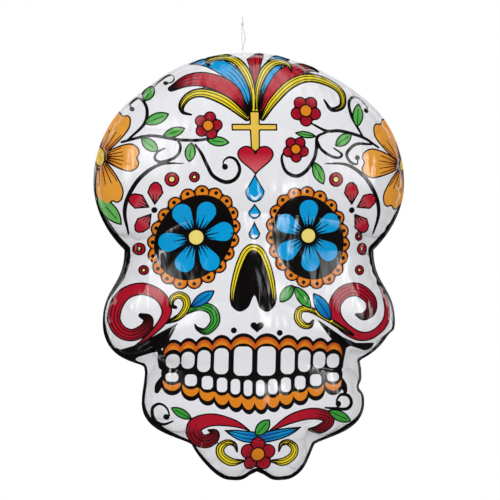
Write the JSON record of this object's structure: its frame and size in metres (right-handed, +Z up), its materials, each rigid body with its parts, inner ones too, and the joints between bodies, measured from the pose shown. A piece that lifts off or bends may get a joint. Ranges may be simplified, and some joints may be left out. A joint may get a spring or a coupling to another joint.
{
  "type": "inflatable hanging skull decoration",
  "caption": "Inflatable sugar skull of two welded vinyl panels, hung from a clear crown tab by a knotted cord, with a push-in air valve and stopper in its back.",
  "frame": {"origin": "where a hook bears in the eye of the hanging cord", "axes": "+Z up along the cord, the printed face looks along -Y, +X to the right as the face is seen"},
  "size_m": [0.374, 0.1619, 0.5567],
  "materials": {
    "printed_film": "glossy vinyl film, printed",
    "plain_film": "glossy vinyl film",
    "clear_vinyl": "clear vinyl",
    "valve_vinyl": "moulded soft vinyl",
    "cord": "twisted white string"
  },
  "bodies": {
    "hanger": {"cord_eye": "cord", "cord_knot": "cord"},
    "strands": {"cord_loop": "cord"},
    "skull": {"front_panel": "printed_film", "back_panel": "plain_film", "hanging_tab": "clear_vinyl", "valve_base": "valve_vinyl"},
    "stem": {"valve_stem": "valve_vinyl", "cap_strap": "valve_vinyl"},
    "flap": {"valve_flap": "clear_vinyl"},
    "cap": {"valve_cap": "valve_vinyl"}
  },
  "joints": [
    {"name": "skull_spin", "type": "hinge", "parent": "hanger", "child": "strands", "pos_m": [0, 0, -0.01], "axis": [0, 0, 1], "continuous": true},
    {"name": "skull_swing", "type": "hinge", "parent": "strands", "child": "skull", "pos_m": [0, 0.00115, -0.03975], "axis": [1, 0, 0], "range_deg": [-25, 25]},
    {"name": "valve_push", "type": "slide", "parent": "skull", "child": "stem", "axis": [0, 1, 0], "range_m": [0, 0.012]},
    {"name": "flap_hinge", "type": "hinge", "parent": "stem", "child": "flap", "pos_m": [0.008, 0.0588, -0.19395], "axis": [-1, 0, 0], "range_deg": [0, 40]},
    {"name": "cap_pull", "type": "slide", "parent": "stem", "child": "cap", "axis": [0, 1, 0], "range_m": [0, 0.01], "deforming": ["cap_strap"]}
  ]
}
